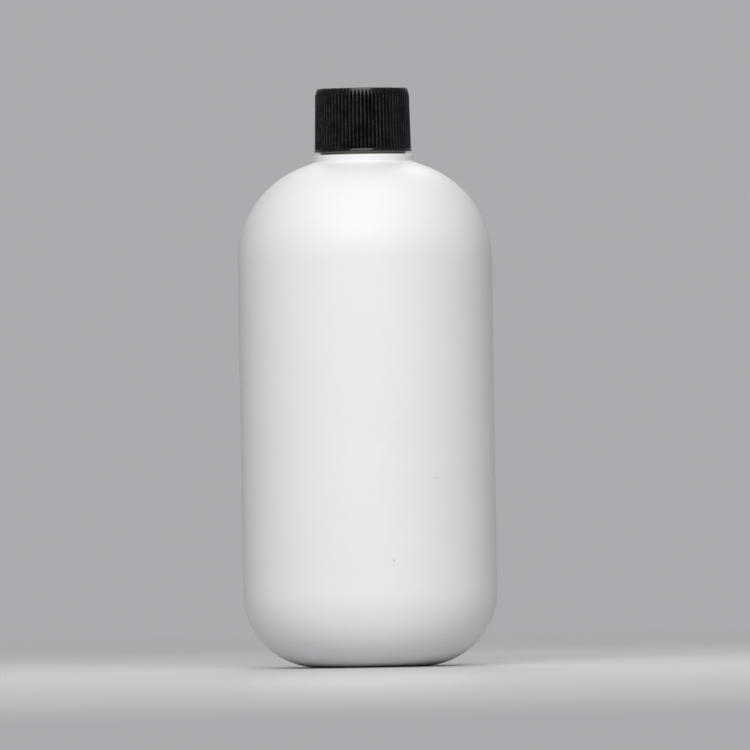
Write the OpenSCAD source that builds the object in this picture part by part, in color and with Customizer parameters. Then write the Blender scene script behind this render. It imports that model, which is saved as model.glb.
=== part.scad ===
// Round-shouldered lotion bottle with a ribbed screw cap, closed.
// The bottle is one blown shell of white polyethylene. Its neck carries a helical thread.
// The black cap is moulded, and a foam disc inside it seals the mouth.
// The origin is the middle of the base, on the ground, and +Z runs up the bottle's axis.

/* [Body] */
// Outside diameter of the straight wall
body_d = 72; // [68:0.5:78]
// Height at which the straight wall ends and the shoulder begins
wall_top = 115.4; // [80:0.1:150]
// Radius of the heel, from the wall round to the ground
heel_r = 21.4; // [16:0.2:24]
// Thickness of the blown wall
wall = 1.2; // [0.8:0.1:1.8]

/* [Base] */
// Width of the flat ring that the bottle stands on
ring_w = 1.6; // [0.8:0.1:3]
// Height of the hollow in the base above the ground
pushup_h = 2.4; // [1.6:0.1:4]
// Thickness of the base over that hollow
base_wall = 1.8; // [1:0.1:3]
// Width of the pinched weld that runs across the base
pinch_w = 0.8; // [0.4:0.1:1.5]
// Height of that weld
pinch_h = 0.5; // [0.2:0.1:0.8]
// Direction of the weld, turned from the +X axis
pinch_turn = 0; // [-90:1:90]

/* [Shoulder] */
// Radius of the arc that leaves the wall
shoulder_r = 28; // [25:0.5:31]
// Radius of the flatter arc that runs on up to the collar
crown_r = 56; // [44:1:80]
// Angle above level at which the first arc passes into the second
crown_from = 66; // [56:1:68]

/* [Neck] */
// Diameter of the collar under the cap
collar_d = 28.3; // [27.6:0.1:31]
// Height of the collar's side, from the shoulder up
collar_h = 2.15; // [1.4:0.05:4]
// Radius of the collar's upper edge
collar_edge_r = 0.5; // [0.2:0.05:0.8]
// Radius in which the collar's side runs out into the shoulder
collar_fillet_r = 0.7; // [0.3:0.05:1]
// Diameter of the low bead on top of the collar
bead_d = 24; // [23:0.1:24.2]
// Height of that bead
bead_h = 1.1; // [0.5:0.1:2]
// Outside diameter of the bare neck
neck_d = 21.6; // [20.8:0.1:22.4]
// Height of the neck from the collar up to the rim
neck_h = 16.15; // [15:0.05:20]
// Diameter of the mouth
mouth_d = 17.5; // [14:0.1:18.5]
// Radius of the round where the mouth opens into the body
throat_r = 3; // [1:0.5:4]
// Bevel of the rim's outer edge
rim_bevel = 0.3; // [0.1:0.05:0.6]

/* [Thread] */
// Diameter over the neck's thread
thread_d = 23.8; // [23.2:0.05:24.4]
// Rise of the thread in one turn
pitch = 3.175; // [3:0.025:3.6]
// Turns of thread on the neck
neck_turns = 1.5; // [1:0.05:1.75]
// Turns of thread in the cap
cap_turns = 2.25; // [1.5:0.05:2.5]
// Distance from the rim down to the neck's thread
thread_start = 1.2; // [0.8:0.05:2]
// Distance from the cap's foot up to the middle of its thread's lower end
cap_thread_in = 4.5; // [3:0.1:5]
// Width of a thread's crest
crest_w = 0.8; // [0.6:0.05:0.9]
// Slope of a thread's flanks
flank_slope = 28; // [20:1:30]
// Angle over which a thread's ends run out
run_out = 40; // [20:5:60]
// Clearance between the neck's thread and the cap's wall, and between the cap's thread and the neck
thread_clear = 0.25; // [0.15:0.05:0.35]
// Play between the threads' loaded flanks
flank_play = 0.15; // [0.1:0.01:0.25]

/* [Cap] */
// Gap between the collar and the cap's foot
foot_gap = 0.85; // [0.4:0.05:2]
// Thickness of the skirt between two ribs, at its upper end
skirt_wall = 0.8; // [0.7:0.05:1.4]
// Draft of the skirt's outside
skirt_draft = 1.2; // [0.5:0.1:2]
// Thickness of the cap's top
panel_t = 1; // [0.8:0.1:2.5]
// Number of ribs round the skirt
ribs = 76; // [70:1:80]
// Height of a rib over the skirt
rib_h = 0.38; // [0.2:0.01:0.45]
// Width of a rib's narrow crest
rib_crest_w = 0.24; // [0.12:0.02:0.4]
// Part of the rib spacing that a rib fills
rib_fill = 0.86; // [0.7:0.02:0.94]
// Length of the bevel in which the ribs fade at the top
rib_fade = 2.1; // [1:0.1:3]
// Radius of the cap's top edge
top_edge_r = 0.5; // [0.3:0.05:0.8]
// Height of the smooth band at the cap's foot
band_h = 0.8; // [0.6:0.1:3]
// Distance that the band stands out past the ribs at its lower edge
band_out = 0.2; // [0.1:0.05:0.5]
// Bevel that leads the neck into the cap
lead_in = 0.45; // [0.2:0.05:0.6]
// Diameter of the small mark that the moulding gate leaves on the cap's top
gate_d = 2; // [1:0.1:4]
// Depth of that mark
gate_depth = 0.15; // [0.1:0.05:0.4]

/* [Liner] */
// Thickness of the foam disc
liner_t = 1.7; // [1:0.1:2]
// Clearance between the disc and the cap's wall
liner_clear = 0.25; // [0.1:0.05:0.5]

/* [Hidden] */
$fn = 96;

// Facets of a thread in one turn
thread_steps = 48;
// Depth that a thread is rooted in the wall that carries it
rooted = 0.3;
// Distance by which a cutting shape passes the surface that it cuts
past = 1;
// Angle by which the shoulder's sector runs on inside the crown's, so that no gap stays between them
sector_lap = 15;

// Body and shoulder, as radius and height in the half section
body_r = body_d / 2;
heel_c = [body_r - heel_r, heel_r];
shoulder_c = [body_r - shoulder_r, wall_top];
crown_c = shoulder_c + (shoulder_r - crown_r) * [cos(crown_from), sin(crown_from)];

// Hollow of the base: a ball cap that springs from the standing ring's inner edge
ring_in_r = heel_c.x - ring_w;
pushup_r = (ring_in_r * ring_in_r + pushup_h * pushup_h) / (2 * pushup_h);
pushup_z = pushup_h - pushup_r;

// Neck
collar_r = collar_d / 2;
bead_r = bead_d / 2;
neck_r = neck_d / 2;
mouth_r = mouth_d / 2;
collar_z = crown_z(collar_r, crown_r) + collar_h;
rim_z = collar_z + neck_h;

// Thread: both threads have one profile, and the cap's lies under the neck's with the play between them
thread_r = thread_d / 2;
thread_h = thread_r - neck_r;
root_w = crest_w + 2 * thread_h * tan(flank_slope);
overlap_h = thread_h - thread_clear;
thread_drop = crest_w + overlap_h * tan(flank_slope) + flank_play / cos(flank_slope);
neck_thread_z = rim_z - thread_start - root_w / 2 - pitch * neck_turns;

// Cap
cap_z = collar_z + foot_gap;
panel_z = rim_z + liner_t;
cap_top = panel_z + panel_t;
cap_bore_r = thread_r + thread_clear;
cap_thread_z = cap_z + cap_thread_in;
cap_thread_turn = 360 * (cap_thread_z + thread_drop - neck_thread_z) / pitch;
fade_z = cap_top - rib_fade;
band_z = cap_z + band_h;

// Height at which the crown's arc, drawn with radius `r`, passes over `x`
function crown_z(x, r) = crown_c.y + sqrt(r * r - (x - crown_c.x) * (x - crown_c.x));

// Radius of the drafted skirt between two ribs, at height `z`
function skirt_r(z) = cap_bore_r + skirt_wall + (fade_z - z) * tan(skirt_draft);

// Sector of a disc about `c`, from angle `a` to angle `b`
module sector(c, r, a, b) {
    reach = 2 * r;
    translate(c) intersection() {
        circle(r);
        polygon([
            [0, 0],
            reach * [cos(a), sin(a)],
            reach * [cos((a + b) / 2), sin((a + b) / 2)],
            reach * [cos(b), sin(b)]
        ]);
    }
}

// Half section of the body up to the neck, `inset` inside its outer surface
module body_half(inset) {
    translate([0, heel_c.y]) square([body_r - inset, wall_top - heel_c.y]);
    translate([0, inset]) square([heel_c.x, heel_c.y - inset]);
    sector(heel_c, heel_r - inset, -90, 0);
    sector(shoulder_c, shoulder_r - inset, 0, crown_from + sector_lap);
    intersection() {
        sector(crown_c, crown_r - inset, crown_from, 100);
        translate([0, wall_top / 2]) square([body_r, wall_top]);
    }
}

// Disc that shapes the base's hollow, `thick` over it
module pushup_disc(thick) {
    translate([0, pushup_z]) circle(pushup_r + thick);
}

// Half section of the collar, with a round edge and a fillet onto the shoulder
module collar_half() {
    fillet_x = collar_r + collar_fillet_r;
    fillet_c = [fillet_x, crown_z(fillet_x, crown_r + collar_fillet_r)];
    foot = crown_c + (fillet_c - crown_c) * crown_r / (crown_r + collar_fillet_r);
    translate([0, wall_top]) square([collar_r - collar_edge_r, collar_z - wall_top]);
    translate([0, wall_top]) square([collar_r, collar_z - collar_edge_r - wall_top]);
    translate([collar_r - collar_edge_r, collar_z - collar_edge_r]) circle(collar_edge_r);
    difference() {
        polygon([[collar_r - wall, fillet_c.y], fillet_c, foot, [collar_r - wall, foot.y - wall]]);
        translate(fillet_c) circle(collar_fillet_r);
    }
}

// Half section of the bead and of the bare neck above it
module neck_half() {
    bead_top = collar_z + bead_h;
    polygon([
        [0, wall_top], [bead_r, wall_top],
        [bead_r, bead_top - rim_bevel], [bead_r - rim_bevel, bead_top],
        [neck_r, bead_top], [neck_r, rim_z - rim_bevel],
        [neck_r - rim_bevel, rim_z], [0, rim_z]
    ]);
}

// Half section of the space inside: the body, the mouth, and the round that joins them
module inside_half() {
    inner_r = crown_r - wall;
    throat_x = mouth_r + throat_r;
    throat_c = [throat_x, crown_z(throat_x, inner_r + throat_r)];
    foot = crown_c + (throat_c - crown_c) * inner_r / (inner_r + throat_r);
    difference() {
        body_half(wall);
        pushup_disc(base_wall);
    }
    translate([0, wall_top]) square([mouth_r, rim_z + past - wall_top]);
    difference() {
        polygon([[mouth_r - past, throat_c.y], throat_c, foot, [mouth_r - past, foot.y - past]]);
        translate(throat_c) circle(throat_r);
    }
}

// A thread as one closed ribbon: profile points are [distance out from the root, height], and
// `side` is 1 for a thread that stands out of a neck and -1 for one that stands into a cap.
module thread(root_r, side, z, turns) {
    count = round(thread_steps * turns);
    half_root = root_w / 2 + rooted * tan(flank_slope);
    // Share of the full height at a place along the thread, for its run-outs
    function share(i) = min(1, min(i, count - i) * 360 / thread_steps / run_out);
    function ring(i) = let (
        turn = i * 360 / thread_steps,
        out = -rooted / 2 + (thread_h + rooted / 2) * share(i),
        half_crest = half_root - (out + rooted) * tan(flank_slope),
        level = z + pitch * i / thread_steps
    ) [for (p = [[-rooted, -half_root], [out, -half_crest], [out, half_crest], [-rooted, half_root]])
        [(root_r + side * p.x) * cos(turn), (root_r + side * p.x) * sin(turn), level + p.y]];
    sides = 4;
    points = [for (i = [0 : count]) each ring(i)];
    walls = [for (i = [0 : count - 1], k = [0 : sides - 1])
        let (a = i * sides + k, b = i * sides + (k + 1) % sides)
        each [[a, b, a + sides], [b, b + sides, a + sides]]];
    ends = [[3, 2, 1], [3, 1, 0],
        [for (k = [0, 1, 2]) count * sides + k], [for (k = [0, 2, 3]) count * sides + k]];
    faces = concat(walls, ends);
    polyhedron(points, side < 0 ? [for (f = faces) [f[2], f[1], f[0]]] : faces, convexity = 6);
}

// The weld left where the mould pinched the tube shut, inside the base's hollow
module pinch_weld() {
    span = 2 * (ring_in_r - pinch_w);
    rotate([0, 0, pinch_turn]) rotate([90, 0, 0])
        linear_extrude(pinch_w, center = true) intersection() {
            difference() {
                pushup_disc(base_wall / 2);
                pushup_disc(-pinch_h);
            }
            translate([-span / 2, 0]) square([span, pushup_h + base_wall]);
        }
}

module bottle() {
    color([0.93, 0.93, 0.94]) {
        rotate_extrude() difference() {
            union() {
                body_half(0);
                collar_half();
                neck_half();
            }
            pushup_disc(0);
            inside_half();
        }
        thread(neck_r, 1, neck_thread_z, neck_turns);
        pinch_weld();
    }
}

// One rib of the skirt: a narrow prism that follows the draft, with a crest of two small faces
module rib() {
    half_foot = rib_fill * PI * skirt_r(band_z) / ribs;
    half_crest = rib_crest_w / 2;
    shoulder_out = rib_h - half_crest / 3;
    low = band_z - band_h / 2;
    translate([skirt_r(low), 0, low]) rotate([0, -skirt_draft, 0])
        linear_extrude(cap_top - low) polygon([
            [-rib_h, -half_foot], [0, -half_foot], [shoulder_out, -half_crest], [rib_h, 0],
            [shoulder_out, half_crest], [0, half_foot], [-rib_h, half_foot]
        ]);
}

// Half section of what is cut away outside the cap's rounded top edge and the ribs' bevel
module cap_top_cut_half() {
    edge_x = skirt_r(cap_top) - top_edge_r;
    edge_c = [edge_x, cap_top - top_edge_r];
    difference() {
        polygon([
            [edge_x, fade_z], [skirt_r(fade_z) + rib_h, fade_z], [body_r, fade_z],
            [body_r, cap_top + past], [edge_x, cap_top + past]
        ]);
        polygon([
            [edge_x - past, fade_z - past], [skirt_r(fade_z) + rib_h, fade_z - past],
            [skirt_r(fade_z) + rib_h, fade_z], [edge_x + top_edge_r, edge_c.y],
            [edge_x - past, edge_c.y]
        ]);
        translate(edge_c) circle(top_edge_r);
        translate([edge_x - past, fade_z]) square([past, cap_top - fade_z]);
    }
}

// Half section of the skirt, the band at its foot and the top
module cap_outer_half() {
    band_r = skirt_r(band_z) + rib_h;
    foot_r = skirt_r(cap_z) + rib_h + band_out;
    polygon([
        [0, cap_z], [foot_r - band_out / 2, cap_z], [foot_r, cap_z + band_out / 2],
        [foot_r, cap_z + band_h / 4], [band_r, band_z - band_h / 4],
        [band_r, band_z - band_out / 2], [band_r - band_out / 2, band_z],
        [skirt_r(band_z), band_z], [skirt_r(cap_top), cap_top], [0, cap_top]
    ]);
}

// Half section of the space in the cap, with a lead-in at the foot
module cap_inner_half() {
    polygon([
        [0, cap_z - past], [cap_bore_r + lead_in + past, cap_z - past], [cap_bore_r, cap_z + lead_in],
        [cap_bore_r, panel_z], [0, panel_z]
    ]);
}

module cap() {
    color([0.05, 0.05, 0.055]) {
        difference() {
            union() {
                rotate_extrude() cap_outer_half();
                for (i = [0 : ribs - 1]) rotate([0, 0, i * 360 / ribs]) rib();
            }
            rotate_extrude() cap_top_cut_half();
            rotate_extrude() cap_inner_half();
            translate([0, 0, cap_top - gate_depth]) cylinder(d = gate_d, h = gate_depth + past);
        }
        rotate([0, 0, cap_thread_turn]) thread(cap_bore_r, -1, cap_thread_z, cap_turns);
    }
}

module cap_liner() {
    color([0.9, 0.9, 0.88])
        translate([0, 0, rim_z]) cylinder(r = cap_bore_r - liner_clear, h = liner_t);
}

bottle();
cap();
cap_liner();
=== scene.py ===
import math

import bmesh
import bpy
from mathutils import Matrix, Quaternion, Vector


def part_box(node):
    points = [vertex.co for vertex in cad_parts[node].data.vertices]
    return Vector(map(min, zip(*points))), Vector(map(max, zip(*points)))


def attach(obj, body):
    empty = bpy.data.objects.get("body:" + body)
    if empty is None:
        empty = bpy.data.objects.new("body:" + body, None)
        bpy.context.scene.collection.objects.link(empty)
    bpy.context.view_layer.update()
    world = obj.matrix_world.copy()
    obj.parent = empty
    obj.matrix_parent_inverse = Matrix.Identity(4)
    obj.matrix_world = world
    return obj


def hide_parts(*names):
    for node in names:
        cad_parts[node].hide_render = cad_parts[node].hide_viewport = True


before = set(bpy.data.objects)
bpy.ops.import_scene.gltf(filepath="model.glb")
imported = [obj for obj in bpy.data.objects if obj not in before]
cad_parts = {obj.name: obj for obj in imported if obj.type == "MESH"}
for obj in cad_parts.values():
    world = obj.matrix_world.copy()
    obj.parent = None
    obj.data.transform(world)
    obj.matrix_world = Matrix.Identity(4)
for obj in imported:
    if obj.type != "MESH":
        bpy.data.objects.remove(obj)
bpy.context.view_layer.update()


# The view of the bottle.
# The photograph was taken through a long lens, from a little above the foot of the bottle, and is turned
# by a degree, so that the bottle seems to lean to the left.
mm = 0.001
photo_px = 750
px = 0.2835 * mm
camera_far = 4.4
camera_up = 60 * mm
lean = math.radians(0.958)
view_middle = Vector((2.36 * mm, 0, 82.66 * mm))
bpy.ops.object.camera_add(location=(view_middle.x, -camera_far, camera_up))
camera = bpy.context.object
camera.data.lens = camera.data.sensor_width * camera_far / (photo_px * px)
camera.data.clip_end = 100
camera.rotation_mode = "QUATERNION"
aim = (view_middle - camera.location).to_track_quat("-Z", "Y")
camera.rotation_quaternion = aim @ Quaternion((0, 0, 1), -lean)
bpy.context.scene.camera = camera
bpy.context.scene.view_settings.view_transform = "Standard"


# The floor, the backdrop and the lamps.
# A pale sheet with a soft polish runs out to the horizon, and passes into a backdrop of the same tone.
# A broad soft lamp hangs in front of the bottle and above it, a smaller one overhead and one behind.
class Value:
    """A number that varies over a surface, so that the maths of a finish reads as arithmetic."""

    def __init__(self, finish, socket):
        self.finish = finish
        self.socket = socket

    def maths(self, operation, *inputs):
        return self.finish.node("ShaderNodeMath", {"operation": operation}, *inputs)

    def __add__(self, other):
        return self.maths("ADD", self, other)

    def __radd__(self, other):
        return self.maths("ADD", other, self)

    def __sub__(self, other):
        return self.maths("SUBTRACT", self, other)

    def __rsub__(self, other):
        return self.maths("SUBTRACT", other, self)

    def __mul__(self, other):
        return self.maths("MULTIPLY", self, other)

    def __rmul__(self, other):
        return self.maths("MULTIPLY", other, self)

    def __abs__(self):
        return self.maths("ABSOLUTE", self)

    def ramp(self, low, high):
        """0 at low and 1 at high, with a smooth passage, or the reverse where low is the larger."""
        settings = {"interpolation_type": "SMOOTHSTEP"}
        if low < high:
            return self.finish.node("ShaderNodeMapRange", settings, self, low, high)
        return 1 - self.finish.node("ShaderNodeMapRange", settings, self, high, low)


class Finish:
    """The nodes of one finish: those of a material, or of the world around the bottle."""

    def __init__(self, name, owner=None):
        self.material = owner or bpy.data.materials.new(name)
        self.material.use_nodes = True
        self.tree = self.material.node_tree

    def node(self, kind, settings=None, *inputs, output=0, **named):
        """Adds a node: first its settings, then the values or links of its sockets."""
        made = self.tree.nodes.new(kind)
        for key, value in (settings or {}).items():
            setattr(made, key, value)
        for key, value in [*enumerate(inputs), *named.items()]:
            self.plug(made.inputs[key], value)
        return Value(self, made.outputs[output])

    def plug(self, socket, value):
        if isinstance(value, Value):
            self.tree.links.new(value.socket, socket)
        else:
            socket.default_value = value

    def set(self, **named):
        """Sets or links sockets of the surface's own shader."""
        for key, value in named.items():
            self.plug(self.tree.nodes["Principled BSDF"].inputs[key.replace("_", " ")], value)

    def place(self):
        """Where a point of the piece lies, in metres."""
        return self.node("ShaderNodeTexCoord", output="Object")

    def split(self, vector):
        made = self.node("ShaderNodeSeparateXYZ", None, vector).socket.node
        return [Value(self, socket) for socket in made.outputs]

    def gap(self, place, point):
        """Distance from one point of the piece."""
        return self.node("ShaderNodeVectorMath", {"operation": "DISTANCE"}, place, point, output="Value")

    def radius(self, place):
        """Distance from the bottle's axis."""
        level = self.node("ShaderNodeVectorMath", {"operation": "MULTIPLY"}, place, (1, 1, 0))
        return self.node("ShaderNodeVectorMath", {"operation": "LENGTH"}, level, output="Value")

    def noise(self, place, lump, detail=2, stretch=(1, 1, 1)):
        """Cloudy noise around 0.5, whose lumps are so large."""
        moved = self.node("ShaderNodeMapping", None, place, Scale=stretch)
        return self.node("ShaderNodeTexNoise", None, Vector=moved, Scale=1 / lump, Detail=detail)

    def cells(self, place, cell):
        """0 in the middle of each cell of a foam, and more towards its walls."""
        return self.node("ShaderNodeTexVoronoi", None, Vector=place, Scale=1 / cell)

    def mix(self, share, first, second):
        """A colour between two, the second where the share is 1."""
        mixed = self.node("ShaderNodeMix", {"data_type": "RGBA"}, share, output=2)
        for socket, colour in zip(mixed.socket.node.inputs[6:8], (first, second)):
            self.plug(socket, colour)
        return mixed

    def bump(self, height, depth, under=None):
        """A relief so deep, which lies on another one where that is given."""
        extra = {"Normal": under} if under else {}
        return self.node("ShaderNodeBump", None, Distance=depth, Height=height, **extra)

    def seen(self):
        """1 for a ray from the camera or by way of gloss or clear plastic, and 0 for plain light."""
        rays = [self.node("ShaderNodeLightPath", output=name)
                for name in ("Is Camera Ray", "Is Glossy Ray", "Is Transmission Ray")]
        return rays[0] + rays[1] + rays[2]


backdrop_tone = (0.40, 0.41, 0.425, 1)
# The sheet is painted paler near the bottle: a painted pool of light round its foot, which also throws
# more light up onto the heel.
painted_pool_tone = (0.62, 0.625, 0.63, 1)
far_tone = (0.45, 0.455, 0.46, 1)
fill_level = 0.02
sheet_size = 80

# Distances from the bottle over which the sheet darkens from its painted pool of light to its own tone,
# and over which it passes into the backdrop.
darkens_over = (0.05, 0.5)
passes_over = (0.1, 0.9)
bpy.ops.mesh.primitive_plane_add(size=sheet_size)
floor = bpy.context.object
floor.name = "floor"
sheet = Finish("pale_sheet")
distance = sheet.radius(sheet.place())
sheet.set(Base_Color=sheet.mix(distance.ramp(*darkens_over), painted_pool_tone, far_tone), Roughness=0.35)
away = distance.ramp(*passes_over)
glow = sheet.node("ShaderNodeEmission", None, backdrop_tone)
polished = Value(sheet, sheet.tree.nodes["Principled BSDF"].outputs[0])
laid = sheet.node("ShaderNodeMixShader", None, away * sheet.seen(), polished, glow)
sheet.plug(sheet.tree.nodes["Material Output"].inputs["Surface"], laid)
floor.data.materials.append(sheet.material)

room = bpy.data.worlds.new("room")
bpy.context.scene.world = room
backdrop = Finish("backdrop", room)
strength = fill_level + (1 - fill_level) * backdrop.seen()
backdrop.plug(room.node_tree.nodes["Background"].inputs["Color"], backdrop_tone)
backdrop.plug(room.node_tree.nodes["Background"].inputs["Strength"], strength)


def hang_lamp(name, place, wide, high, watts):
    """A soft lamp that faces the middle of the bottle and isn't seen itself."""
    bpy.ops.object.light_add(type="AREA", location=place)
    made = bpy.context.object
    made.name = name
    made.data.shape = "RECTANGLE"
    made.data.size = wide
    made.data.size_y = high
    made.data.energy = watts
    made.visible_camera = False
    made.rotation_euler = (view_middle - Vector(place)).to_track_quat("-Z", "Y").to_euler()


hang_lamp("front_lamp", (-0.07, -1.35, 1), wide=1.4, high=0.7, watts=24)
hang_lamp("top_lamp", (0, -0.1, 1.4), wide=2, high=0.8, watts=6)
hang_lamp("back_lamp", (0.1, 1.15, 1.1), wide=0.9, high=0.6, watts=6)


# The bottle: one blown shell of white polyethylene, open at the mouth.
# A soft tube was pinched shut between two mould halves and blown out against them. That leaves a weld
# across the hollow of the base and a faint line up both sides. The thread was formed in the same mould.
rim_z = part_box("bottle")[1].z
body_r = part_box("bottle")[1].x
wall = 1.2 * mm
base_wall = 1.8 * mm
heel_r = 21.4 * mm
ring_w = 1.6 * mm
pushup_h = 2.4 * mm
pinch_w = 0.8 * mm
pinch_h = 0.5 * mm
weld_short = 0.2 * mm
wall_top = 115.4 * mm
shoulder_r = 28 * mm
crown_r = 56 * mm
crown_from = math.radians(66)
collar_r = 14.15 * mm
collar_edge_r = 0.5 * mm
collar_fillet_r = 0.7 * mm
neck_h = 16.15 * mm
bead_r = 12 * mm
bead_h = 1.1 * mm
neck_r = 10.8 * mm
mouth_r = 8.75 * mm
throat_r = 3 * mm
rim_bevel = 0.3 * mm
up = math.pi / 2
tiny = 0.002 * mm
crease = math.radians(35)
bottle_steps = 192

collar_z = rim_z - neck_h
bead_z = collar_z + bead_h
heel_c = Vector((body_r - heel_r, heel_r))
shoulder_c = Vector((body_r - shoulder_r, wall_top))
crown_c = shoulder_c + (shoulder_r - crown_r) * Vector((math.cos(crown_from), math.sin(crown_from)))
ring_in_r = heel_c.x - ring_w
pushup_r = (ring_in_r ** 2 + pushup_h ** 2) / (2 * pushup_h)
pushup_c = Vector((0, pushup_h - pushup_r))


def crown_z(x, radius):
    """Height at which the crown's arc, drawn with that radius, passes over x."""
    return crown_c.y + math.sqrt(radius ** 2 - (x - crown_c.x) ** 2)


def bearing(centre, point):
    """Angle above level at which a centre sees a point of the half section."""
    return math.atan2(point[1] - centre[1], point[0] - centre[0])


def start_line(name, x, z):
    """A new piece that so far is one point of the half section, open for editing. Returns the pen."""
    bpy.ops.object.select_all(action="DESELECT")
    bpy.ops.mesh.primitive_plane_add(size=mm, location=(x, 0, z))
    bpy.context.object.name = name
    bpy.ops.object.transform_apply()
    bpy.ops.object.mode_set(mode="EDIT")
    bpy.ops.mesh.merge(type="CENTER")
    return [x, z]


def line_to(pen, x, z, cuts=1):
    """Draws on straight to a point, in so many equal cuts."""
    step = ((x - pen[0]) / cuts, 0, (z - pen[1]) / cuts)
    for _ in range(cuts):
        bpy.ops.mesh.extrude_region_move(TRANSFORM_OT_translate={"value": step})
    pen[:] = x, z


def arc_to(pen, centre, end, steps):
    """Draws on round a centre, the short way, to the angle `end` above level."""
    turn = math.remainder(end - bearing(centre, pen), 2 * math.pi)
    radius = math.hypot(pen[0] - centre[0], pen[1] - centre[1])
    bpy.ops.mesh.spin(steps=steps, angle=turn, center=(centre[0], 0, centre[1]), axis=(0, 1, 0))
    pen[:] = centre[0] + radius * math.cos(end), centre[1] + radius * math.sin(end)


def pick(test):
    """Selects the points whose place passes a test, with the edges and faces between them."""
    drawn = bmesh.from_edit_mesh(bpy.context.object.data)
    bpy.ops.mesh.select_all(action="DESELECT")
    for point in drawn.verts:
        point.select = test(point.co)
    drawn.select_flush(True)


def merge_doubles():
    bpy.ops.mesh.select_all(action="SELECT")
    bpy.ops.mesh.remove_doubles(threshold=tiny)


def spin_round(steps, angle=2 * math.pi, copies=False):
    """Spins all that is drawn round the bottle's axis, or lays copies of it there."""
    bpy.ops.mesh.select_all(action="SELECT")
    bpy.ops.mesh.spin(steps=steps, angle=angle, dupli=copies, center=(0, 0, 0), axis=(0, 0, 1))


def close_up():
    """Merges doubled points, turns all faces outwards, shades the piece and ends its editing."""
    merge_doubles()
    bpy.ops.mesh.normals_make_consistent(inside=False)
    bpy.ops.object.mode_set(mode="OBJECT")
    bpy.ops.object.shade_smooth_by_angle(angle=crease)
    return bpy.context.object


def weld_on(piece, part):
    """Unites a part with the piece that it grows out of."""
    bpy.ops.object.select_all(action="DESELECT")
    bpy.context.view_layer.objects.active = piece
    piece.select_set(True)
    bpy.ops.object.modifier_add(type="BOOLEAN")
    joint = piece.modifiers[-1]
    joint.operation = "UNION"
    joint.solver = "MANIFOLD"
    joint.object = part
    bpy.ops.object.modifier_apply(modifier=joint.name)
    bpy.data.objects.remove(part)
    bpy.ops.object.shade_smooth_by_angle(angle=crease)


def dress(piece, finish):
    """Gives a piece its finish, and no other."""
    piece.data.materials.clear()
    piece.data.materials.append(finish.material)


pen = start_line("bottle_shell", 0, pushup_h)
arc_to(pen, pushup_c, bearing(pushup_c, (ring_in_r, 0)), steps=14)
line_to(pen, heel_c.x, 0)
arc_to(pen, heel_c, 0, steps=28)
line_to(pen, body_r, wall_top, cuts=6)
arc_to(pen, shoulder_c, crown_from, steps=22)
fillet_x = collar_r + collar_fillet_r
fillet_c = (fillet_x, crown_z(fillet_x, crown_r + collar_fillet_r))
arc_to(pen, crown_c, bearing(crown_c, fillet_c), steps=10)
arc_to(pen, fillet_c, math.pi, steps=6)
line_to(pen, collar_r, collar_z - collar_edge_r)
arc_to(pen, (collar_r - collar_edge_r, collar_z - collar_edge_r), up, steps=5)
line_to(pen, bead_r, collar_z)
line_to(pen, bead_r, bead_z - rim_bevel)
arc_to(pen, (bead_r - rim_bevel, bead_z - rim_bevel), up, steps=4)
line_to(pen, neck_r, bead_z)
line_to(pen, neck_r, rim_z - rim_bevel, cuts=4)
arc_to(pen, (neck_r - rim_bevel, rim_z - rim_bevel), up, steps=4)
line_to(pen, mouth_r, rim_z)
inner_crown_r = crown_r - wall
throat_x = mouth_r + throat_r
throat_c = (throat_x, crown_z(throat_x, inner_crown_r + throat_r))
line_to(pen, mouth_r, throat_c[1], cuts=3)
arc_to(pen, throat_c, bearing(throat_c, crown_c), steps=8)
arc_to(pen, crown_c, crown_from, steps=10)
arc_to(pen, shoulder_c, 0, steps=18)
line_to(pen, body_r - wall, heel_c.y, cuts=6)
arc_to(pen, heel_c, -up, steps=20)
inner_dome_r = pushup_r + base_wall
line_to(pen, math.sqrt(inner_dome_r ** 2 - (wall - pushup_c.y) ** 2), wall)
arc_to(pen, pushup_c, up, steps=12)
spin_round(bottle_steps)
bottle_shell = close_up()

# The weld in the hollow of the base is a low ridge between two arcs, and ends just short of the ground.
weld_in_r = pushup_r + base_wall / 2
weld_out_r = pushup_r - pinch_h
weld_x = math.sqrt(weld_out_r ** 2 - pushup_c.y ** 2) - weld_short


def on_arc(radius, x):
    """Height over x of an arc round the centre of the hollow's dome."""
    return pushup_c.y + math.sqrt(radius ** 2 - x ** 2)


weld_foot = (weld_x, on_arc(weld_out_r, weld_x))
pen = start_line("pinch_weld", -weld_x, weld_foot[1])
arc_to(pen, pushup_c, bearing(pushup_c, weld_foot), steps=24)
line_to(pen, weld_x, on_arc(weld_in_r, weld_x))
arc_to(pen, pushup_c, math.pi - bearing(pushup_c, pen), steps=24)
merge_doubles()
bpy.ops.mesh.edge_face_add()
bpy.ops.mesh.extrude_region_move(TRANSFORM_OT_translate={"value": (0, pinch_w, 0)})
bpy.ops.mesh.select_all(action="SELECT")
bpy.ops.transform.translate(value=(0, -pinch_w / 2, 0))
pinch_weld = close_up()
weld_on(bottle_shell, pinch_weld)

# The neck's thread: 24 mm across, 8 turns to the inch, a turn and a half long.
pitch = 3.175 * mm
thread_h = 1.1 * mm
thread_start = 1.2 * mm
neck_turns = 1.5
crest_w = 0.8 * mm
flank_slope = math.radians(28)
thread_clear = 0.25 * mm
flank_play = 0.15 * mm
rooted = 0.3 * mm
thread_steps = 72
run_out = 8
half_crest = crest_w / 2
half_root = half_crest + (thread_h + rooted) * math.tan(flank_slope)
root_w = crest_w + 2 * thread_h * math.tan(flank_slope)
neck_thread_z = rim_z - thread_start - root_w / 2 - pitch * neck_turns


def turn_piece(angle):
    """Turns all that is selected about the bottle's axis, anticlockwise as seen from above."""
    bpy.ops.transform.rotate(value=-angle, orient_axis="Z", center_override=(0, 0, 0))


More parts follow.
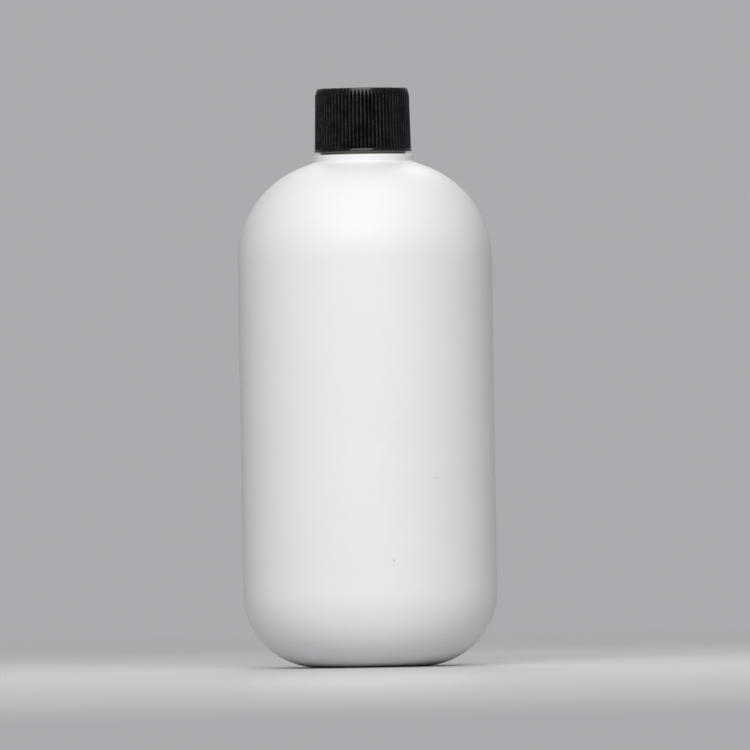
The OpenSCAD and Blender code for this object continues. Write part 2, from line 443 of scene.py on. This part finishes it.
def wind_thread(name, wall_r, side, low_z, turns, begin):
    """A screw thread: its section is pulled round the axis step by step, and sinks into the wall at both
    ends. It stands out of a neck where side is 1, and into a cap where side is -1."""
    step = 2 * math.pi / thread_steps
    count = round(thread_steps * turns)
    crest_r = wall_r + side * thread_h
    root_r = wall_r - side * rooted
    sunk_r = wall_r - side * rooted / 2
    pen = start_line(name, root_r, low_z - half_root)
    line_to(pen, crest_r, low_z - half_crest)
    line_to(pen, crest_r, low_z + half_crest)
    line_to(pen, root_r, low_z + half_root)
    bpy.ops.mesh.select_all(action="SELECT")
    bpy.ops.mesh.edge_face_add()
    for _ in range(count):
        bpy.ops.mesh.extrude_region_move(TRANSFORM_OT_translate={"value": (0, 0, pitch / thread_steps)})
        turn_piece(step)
    for far in range(run_out):
        share = (sunk_r + (crest_r - sunk_r) * far / run_out) / crest_r
        for ring in (far, count - far):
            level = low_z + pitch * ring / thread_steps
            at = crest_r * Vector((math.cos(step * ring), math.sin(step * ring), 0))
            ends = [at + Vector((0, 0, level + side_z)) for side_z in (-half_crest, half_crest)]
            pick(lambda place: any((place - end).length < 10 * tiny for end in ends))
            bpy.ops.transform.resize(value=(share, share, 1), center_override=(0, 0, 0))
    bpy.ops.mesh.select_all(action="SELECT")
    turn_piece(begin)
    return close_up()


weld_on(bottle_shell, wind_thread("neck_thread", neck_r, 1, neck_thread_z, neck_turns, 0))

# The tone hardly varies. The mould's line runs up both sides, and a warm brown shade is painted on the
# bead, where the cap's overhang shades it.
greyer = (0.84, 0.84, 0.858, 1)
whiter = (0.87, 0.87, 0.887, 1)
bead_shade_tone = (0.66, 0.58, 0.49, 1)
bead_shade_share = 0.9
parting_w = 0.16 * mm
white = Finish("white_polyethylene")
place = white.place()
_, y, z = white.split(place)
clouds = white.noise(place, lump=14 * mm, detail=3)
parting = abs(y).ramp(parting_w, parting_w / 4) * white.radius(place).ramp(bead_r, bead_r + 1 * mm)
# Painted shade: the bead under the cap is tinted darker and warm brown.
bead_shaded = z.ramp(collar_z - 0.1 * mm, collar_z + 0.2 * mm) * z.ramp(bead_z + 0.3 * mm, bead_z)
tone = white.mix(clouds, greyer, whiter)
tone = white.mix(bead_shaded * bead_shade_share, tone, bead_shade_tone)


def seen_at(photo_x, photo_y):
    """The place on the bottle's wall that a pixel of the photograph shows."""
    middle_x, middle_y, ground_v = 366.6, 400, 266.2
    right = (photo_x - middle_x) * math.cos(lean) - (photo_y - middle_y) * math.sin(lean)
    down = (photo_x - middle_x) * math.sin(lean) + (photo_y - middle_y) * math.cos(lean)
    return Vector((right * px, -math.sqrt(body_r ** 2 - (right * px) ** 2), (ground_v - down) * px))


# Three small specks lie on the wall: where the photograph shows them, how large they are and how pale.
specks = (
    (434.8, 477, 0.3 * mm, 0.62),
    (393.5, 559, 0.3 * mm, 0.5),
    (474.6, 521, 0.25 * mm, 0.95),
)
for photo_x, photo_y, speck_r, grey in specks:
    speck = white.gap(place, seen_at(photo_x, photo_y)).ramp(speck_r, 0.5 * speck_r)
    tone = white.mix(speck, tone, (grey, grey, grey, 1))

# Shallow waves like orange peel cover the wall, and faint streaks run up it, as the hot tube was drawn.
wave_depth = 0.012 * mm
parting_depth = 0.04 * mm
peel = white.bump(white.noise(place, lump=1.1 * mm), wave_depth)
streaks = white.noise(place, lump=1.6 * mm, detail=3, stretch=(1, 1, 0.02))
drawn = white.bump(streaks, wave_depth, peel)
white.set(
    Base_Color=tone,
    Roughness=0.38 + 0.08 * clouds,
    Normal=white.bump(parting, parting_depth, drawn),
    Specular_IOR_Level=0.15,
    Subsurface_Weight=0.1,
    Subsurface_Scale=0.5 * mm,
)
dress(bottle_shell, white)
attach(bottle_shell, "bottle")
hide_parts("bottle")


# The cap: one moulding of black polypropylene, which was screwed off the core that formed its thread.
# Fine ribs round the skirt give the fingers a hold. They rise from a smooth band at the foot and fade
# in a bevel under the top, where the mould's gate left a small round mark.
cap_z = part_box("cap")[0].z
cap_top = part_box("cap")[1].z
panel_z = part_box("cap_liner")[1].z
cap_bore_r = neck_r + thread_h + thread_clear
skirt_wall = 0.8 * mm
skirt_draft = math.radians(1.2)
ribs = 76
rib_h = 0.38 * mm
rib_crest_w = 0.24 * mm
rib_fill = 0.86
rib_fade = 2.1 * mm
rib_cuts = 14
fade_rows = 10
top_edge_r = 0.5 * mm
band_h = 0.8 * mm
band_out = 0.2 * mm
lead_in = 0.45 * mm
gate_r = 1 * mm
gate_depth = 0.15 * mm
gate_taper = 0.9
panel_rim_w = 1 * mm
gate_steps = 64
cap_thread_in = 4.5 * mm
cap_turns = 2.25
first_rib = math.radians(-90 - 1.7)

fade_z = cap_top - rib_fade
band_z = cap_z + band_h
rib_gap = 2 * math.pi / ribs


def skirt_r(z):
    """Radius of the drafted skirt between two ribs."""
    return cap_bore_r + skirt_wall + (fade_z - z) * math.tan(skirt_draft)


band_r = skirt_r(band_z) + rib_h
foot_r = skirt_r(cap_z) + rib_h + band_out
edge_c = (skirt_r(cap_top) - top_edge_r, cap_top - top_edge_r)
panel_in_r = edge_c[0] - panel_rim_w
rib_rows = [band_z] + [fade_z + row * (edge_c[1] - fade_z) / fade_rows for row in range(fade_rows)]


def rib_limit(z):
    """Radius that no rib passes at a height: the band's, and in the bevel less and less up to the top."""
    if z <= fade_z:
        return band_r
    share = (z - fade_z) / (edge_c[1] - fade_z)
    return (1 - share) * (skirt_r(fade_z) + rib_h) + share * skirt_r(cap_top)


pen = start_line("ribbed_cap", cap_bore_r, panel_z)
line_to(pen, cap_bore_r, cap_z + lead_in, cuts=4)
line_to(pen, cap_bore_r + lead_in, cap_z)
line_to(pen, foot_r - band_out / 2, cap_z)
arc_to(pen, (foot_r - band_out / 2, cap_z + band_out / 2), 0, steps=4)
line_to(pen, foot_r, cap_z + band_h / 4)
line_to(pen, band_r, band_z - band_h / 4)
line_to(pen, band_r, band_z - band_out / 2)
arc_to(pen, (band_r - band_out / 2, band_z - band_out / 2), up, steps=4)
line_to(pen, skirt_r(band_z), band_z)
line_to(pen, skirt_r(fade_z), fade_z)
line_to(pen, skirt_r(edge_c[1]), edge_c[1], cuts=fade_rows)
line_to(pen, edge_c[0] + top_edge_r, edge_c[1])
arc_to(pen, edge_c, up, steps=6)
line_to(pen, panel_in_r, cap_top)
spin_round(rib_cuts, angle=-rib_gap)
merge_doubles()

# The strip is one rib wide. Its middle is pushed out to the rib's section, and less so in the bevel.
crest_share = rib_crest_w / (rib_gap * skirt_r(band_z))
cut_gap = rib_gap / rib_cuts
for cut in range(1, rib_cuts // 2 + 1):
    off = 0.5 - cut / rib_cuts
    rise = rib_h * min(max((rib_fill / 2 - off) / ((rib_fill - crest_share) / 2), 0), 1)
    sides = (cut * cut_gap, (rib_cuts - cut) * cut_gap)
    for row_z in rib_rows:
        from_r = skirt_r(row_z)
        share = min(from_r + rise, rib_limit(row_z)) / from_r
        pick(lambda at: abs(at.z - row_z) < tiny and abs(at.xy.length - from_r) < tiny
             and min(abs(math.atan2(at.y, at.x) - side) for side in sides) < 0.1 * cut_gap)
        bpy.ops.transform.resize(value=(share, share, 1), center_override=(0, 0, 0))

# The strip is then copied all round, and the top panel is filled in round the mark of the gate.
spin_round(ribs - 1, angle=rib_gap - 2 * math.pi, copies=True)
merge_doubles()
turn_piece(first_rib - rib_gap / 2)
pick(lambda at: abs(at.z - panel_z) < tiny and at.xy.length < cap_bore_r + tiny)
bpy.ops.mesh.edge_face_add()
bpy.ops.mesh.select_all(action="DESELECT")
bpy.ops.mesh.primitive_circle_add(vertices=gate_steps, radius=gate_r, location=(0, 0, cap_top))
pick(lambda at: abs(at.z - cap_top) < tiny and at.xy.length < panel_in_r + tiny)
bpy.ops.mesh.fill(use_beauty=False)
pick(lambda at: abs(at.z - cap_top) < tiny and at.xy.length < gate_r + tiny)
bpy.ops.mesh.extrude_edges_move(TRANSFORM_OT_translate={"value": (0, 0, -gate_depth)})
bpy.ops.transform.resize(value=(gate_taper, gate_taper, 1), center_override=(0, 0, 0))
bpy.ops.mesh.edge_face_add()
ribbed_cap = close_up()

# The cap's thread lies under the neck's, with a little play between the two flanks that meet.
flank_drop = (thread_h - thread_clear) * math.tan(flank_slope) + flank_play / math.cos(flank_slope)
thread_drop = crest_w + flank_drop
cap_thread_z = cap_z + cap_thread_in
cap_thread_turn = 2 * math.pi * (cap_thread_z + thread_drop - neck_thread_z) / pitch
weld_on(ribbed_cap, wind_thread("cap_thread", cap_bore_r, -1, cap_thread_z, cap_turns, cap_thread_turn))

# The grooves between the ribs and the top panel stay dull, and the grooves carry painted shade. A painted
# highlight runs along the crests, broken into specks like scuffs, and dust lies on the outside. The
# rounded edge over the ribs kept the mould's polish.
black_tone = (0.004, 0.004, 0.0043, 1)
groove_shade_tone = (0.002, 0.002, 0.0022, 1)
dust_tone = (0.04, 0.04, 0.04, 1)
crest_glint_tone = (0.05, 0.05, 0.05, 1)
skirt_gloss = 0.3
groove_gloss = 0.03
panel_gloss = 0.04
edge_gloss = 0.79
grain_depth = 0.006 * mm
black = Finish("black_polypropylene")
place = black.place()
z = black.split(place)[2]
clouds = black.noise(place, lump=3 * mm, detail=3)
out = black.radius(place) + (z - band_z) * math.tan(skirt_draft) - skirt_r(band_z)
groove = out.ramp(0.9 * rib_h, 0.2 * rib_h) * out.ramp(-0.3 * mm, -0.1 * mm) * z.ramp(edge_c[1], fade_z)
# Painted highlight: a paler tone along the rib crests, broken into specks like scuffs.
crest = out.ramp(0.8 * rib_h, 0.98 * rib_h) * z.ramp(fade_z + 0.3 * mm, fade_z)
crest = crest * z.ramp(band_z, band_z + 0.1 * mm)
crest_glints = crest * black.noise(place, lump=0.22 * mm, detail=3).ramp(0.42, 0.62) * clouds.ramp(0.3, 0.6)
dust = black.noise(place, lump=0.3 * mm, detail=3).ramp(0.5, 0.72) * clouds.ramp(0.35, 0.6)
dust = dust * (1 - 0.7 * groove) * out.ramp(-0.1 * mm, 0)
above = z.ramp(edge_c[1] - 0.1 * mm, edge_c[1] + 0.2 * mm)
edge = black.radius(place).ramp(panel_in_r + 0.4 * mm, edge_c[0])
gloss = skirt_gloss + groove * (groove_gloss - skirt_gloss)
gloss = gloss + above * (panel_gloss - skirt_gloss + edge * (edge_gloss - panel_gloss))
# Painted shade: the grooves between the ribs are painted darker than the black of the ribs.
tone = black.mix(groove, black_tone, groove_shade_tone)
tone = black.mix(dust, tone, dust_tone)
tone = black.mix(crest_glints, tone, crest_glint_tone)
black.set(
    Base_Color=tone,
    Roughness=0.26 + 0.08 * clouds,
    Normal=black.bump(black.noise(place, lump=0.25 * mm), grain_depth),
    Specular_IOR_Level=0.04,
    Coat_Weight=gloss,
    Coat_Roughness=0.14,
)
dress(ribbed_cap, black)
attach(ribbed_cap, "cap")
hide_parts("cap")


# The liner: a disc punched from a sheet of white polyethylene foam and pressed into the cap.
# The bottle's rim has squeezed a shallow ring into it, and the foam swells a little on both sides.
liner_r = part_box("cap_liner")[1].x
swell = 0.12 * mm
liner_edge = 0.2 * mm
liner_steps = 128
foam_tone = (0.86, 0.86, 0.84, 1)
pore_tone = (0.74, 0.74, 0.72, 1)
pore_depth = 0.05 * mm
skin_depth = 0.08 * mm
pen = start_line("foam_liner", 0, rim_z - swell)
line_to(pen, mouth_r - 2 * swell, rim_z - swell, cuts=6)
line_to(pen, mouth_r, rim_z, cuts=3)
line_to(pen, neck_r, rim_z, cuts=4)
line_to(pen, neck_r + 2 * swell, rim_z - swell, cuts=3)
line_to(pen, liner_r - liner_edge, rim_z - swell)
arc_to(pen, (liner_r - liner_edge, rim_z - swell + liner_edge), 0, steps=4)
line_to(pen, liner_r, panel_z - liner_edge)
arc_to(pen, (liner_r - liner_edge, panel_z - liner_edge), up, steps=4)
line_to(pen, 0, panel_z)
spin_round(liner_steps)
foam_liner = close_up()

foam = Finish("white_foam")
place = foam.place()
cell = foam.cells(place, 0.45 * mm)
skin = foam.noise(place, lump=4 * mm, detail=3)
tone = foam.mix(cell, foam_tone, pore_tone)
pores = foam.bump(cell, pore_depth)
foam.set(Base_Color=tone, Roughness=0.6 + 0.2 * skin, Normal=foam.bump(skin, skin_depth, pores))
dress(foam_liner, foam)
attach(foam_liner, "cap_lift")
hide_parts("cap_liner")
